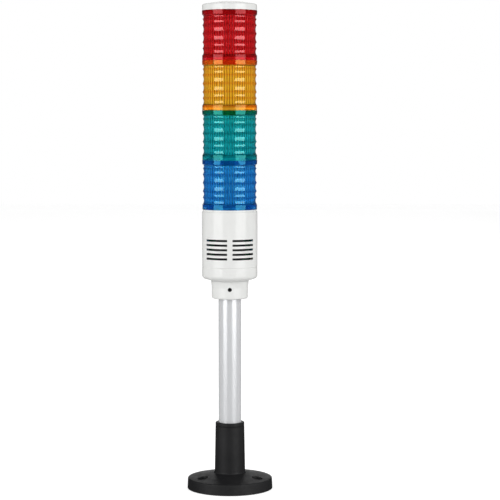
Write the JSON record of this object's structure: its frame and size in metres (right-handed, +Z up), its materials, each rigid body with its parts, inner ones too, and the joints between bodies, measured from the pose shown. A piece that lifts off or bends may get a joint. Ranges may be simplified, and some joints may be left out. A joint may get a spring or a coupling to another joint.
{
  "type": "stack light",
  "caption": "Tower signal light with red, amber, green and blue twist-lock lamp tiers above a buzzer housing, on a metal pole with a round flanged base.",
  "frame": {"origin": "centre of the underside of the base gasket, which the light stands on", "axes": "+Z up along the pole, -Y towards the front, where the sound slots and the neck screw are"},
  "size_m": [0.087, 0.087, 0.4954],
  "materials": {
    "white_plastic": "moulded, light gloss",
    "black_plastic": "moulded, satin",
    "aluminium": "satin anodised",
    "rubber": "matt",
    "steel": "zinc plated",
    "board": "white solder mask",
    "board_green_plastic": "moulded",
    "component_plastic": "moulded",
    "module_plastic": "moulded, matt",
    "brass": "plated",
    "led": "clear resin over phosphor",
    "red_lens": "clear tinted polycarbonate",
    "amber_lens": "clear tinted polycarbonate",
    "green_lens": "clear tinted polycarbonate",
    "blue_lens": "clear tinted polycarbonate"
  },
  "bodies": {
    "stand": {"base_gasket": "rubber", "pole_base": "black_plastic", "base_set_screw": "steel", "pole": "aluminium", "neck_set_screw": "steel", "bottom_cover": "white_plastic", "housing_screws": "steel", "buzzer_housing": "white_plastic", "control_board": "board", "driver_components": "component_plastic", "terminal_block": "board_green_plastic", "sounder": "component_plastic", "housing_contact_cap": "module_plastic", "housing_contact_pads": "brass", "housing_seal": "rubber"},
    "blue_tier": {"blue_lens": "blue_lens", "blue_carrier": "module_plastic", "blue_led_board": "board", "blue_leds": "led", "blue_contact_pins": "brass", "blue_contact_cap": "module_plastic", "blue_contact_pads": "brass", "blue_seal": "rubber"},
    "green_tier": {"green_lens": "green_lens", "green_carrier": "module_plastic", "green_led_board": "board", "green_leds": "led", "green_contact_pins": "brass", "green_contact_cap": "module_plastic", "green_contact_pads": "brass", "green_seal": "rubber"},
    "amber_tier": {"amber_lens": "amber_lens", "amber_carrier": "module_plastic", "amber_led_board": "board", "amber_leds": "led", "amber_contact_pins": "brass", "amber_contact_cap": "module_plastic", "amber_contact_pads": "brass", "amber_seal": "rubber"},
    "red_tier": {"red_lens": "red_lens", "red_carrier": "module_plastic", "red_led_board": "board", "red_leds": "led", "red_contact_pins": "brass", "red_contact_cap": "module_plastic", "red_contact_pads": "brass", "red_seal": "rubber"},
    "cap": {"top_cap": "white_plastic"}
  },
  "joints": [
    {"name": "blue_twist", "type": "hinge", "parent": "stand", "child": "blue_tier", "pos_m": [0, 0, 0.2861], "axis": [0, 0, 1], "range_deg": [0, 18]},
    {"name": "green_twist", "type": "hinge", "parent": "blue_tier", "child": "green_tier", "pos_m": [0, 0, 0.3361], "axis": [0, 0, 1], "range_deg": [0, 18]},
    {"name": "amber_twist", "type": "hinge", "parent": "green_tier", "child": "amber_tier", "pos_m": [0, 0, 0.3861], "axis": [0, 0, 1], "range_deg": [0, 18]},
    {"name": "red_twist", "type": "hinge", "parent": "amber_tier", "child": "red_tier", "pos_m": [0, 0, 0.4361], "axis": [0, 0, 1], "range_deg": [0, 18]},
    {"name": "cap_twist", "type": "hinge", "parent": "red_tier", "child": "cap", "pos_m": [0, 0, 0.4861], "axis": [0, 0, 1], "range_deg": [0, 18]}
  ]
}
